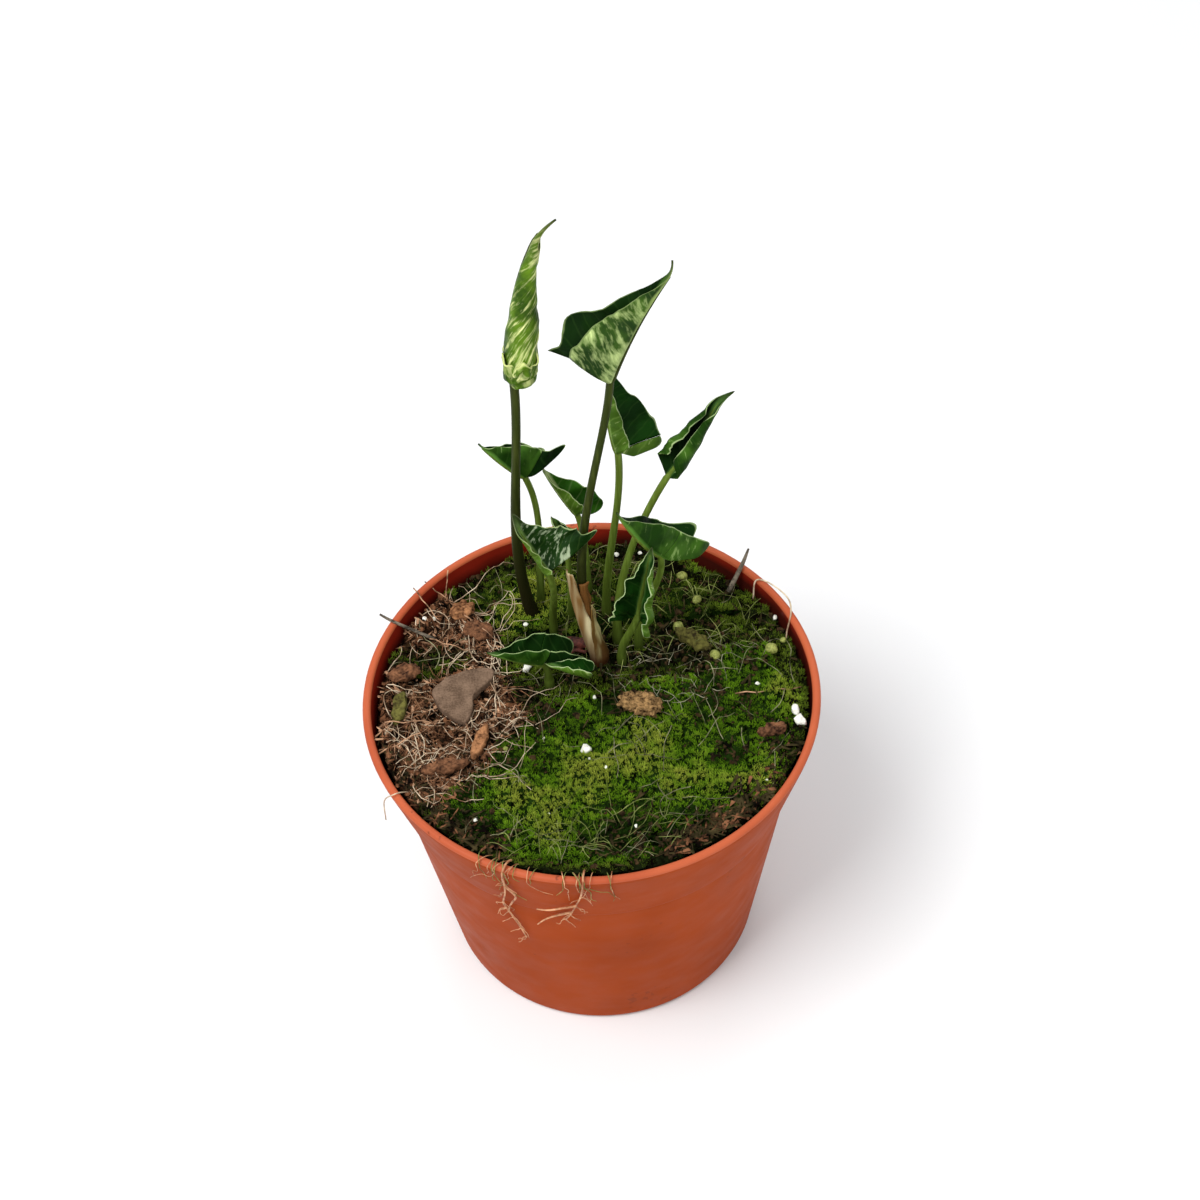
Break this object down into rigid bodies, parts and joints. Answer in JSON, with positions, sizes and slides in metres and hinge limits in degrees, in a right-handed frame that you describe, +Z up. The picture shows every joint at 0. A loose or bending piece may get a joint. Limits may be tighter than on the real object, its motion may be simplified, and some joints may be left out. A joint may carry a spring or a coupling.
{
  "type": "potted foliage plant",
  "caption": "Young arrowhead plant with folded mottled leaves on thin upright stalks, growing in a mossy root ball in a round tapered plastic nursery pot.",
  "frame": {"origin": "middle of the pot's underside, on the plane it stands on", "axes": "+Z up along the pot's axis, the side shown in the picture faces -Y"},
  "size_m": [0.12, 0.1212, 0.2252],
  "materials": {
    "pot": "satin terracotta-coloured moulded plastic",
    "soil": "moist fibrous peat and bark mix",
    "moss": "fluffy moss",
    "moss_dark": "fluffy dark moss",
    "leaf": "waxy satin leaf with pale mottling",
    "leaf_young": "waxy young leaf with cream streaks",
    "sheath": "dry and papery",
    "old_stem": "withered",
    "stone": "rough matt",
    "bark": "rough matt",
    "bark_pale": "rough matt",
    "root": "dry root",
    "twig": "dry twig"
  },
  "bodies": {
    "root": {"pot": "pot", "soil": "soil", "moss_front": "moss", "moss_back": "moss_dark", "leaf_01_rolled": "leaf_young", "leaf_02_tall": "leaf", "leaf_03_back": "leaf", "leaf_04_right": "leaf", "leaf_05_low_right": "leaf", "leaf_06_drooping": "leaf", "leaf_07_left": "leaf", "leaf_08_inner": "leaf", "leaf_09_mottled": "leaf", "leaf_10_bud": "leaf_young", "leaf_11_front": "leaf", "dry_sheath": "sheath", "old_stem": "old_stem", "stone_flake": "stone", "chip_back_tan": "bark_pale", "chip_back_brown": "bark", "chip_left_rim": "bark", "chip_left_low": "bark", "chip_front_upright": "bark_pale", "chip_front_flat": "bark_pale", "chip_cluster": "bark_pale", "chip_mossy": "bark", "chip_right_rim": "bark_pale", "roots_front_left": "root", "roots_front_right": "root", "twig_right": "twig", "twig_left": "twig"}
  },
  "joints": []
}
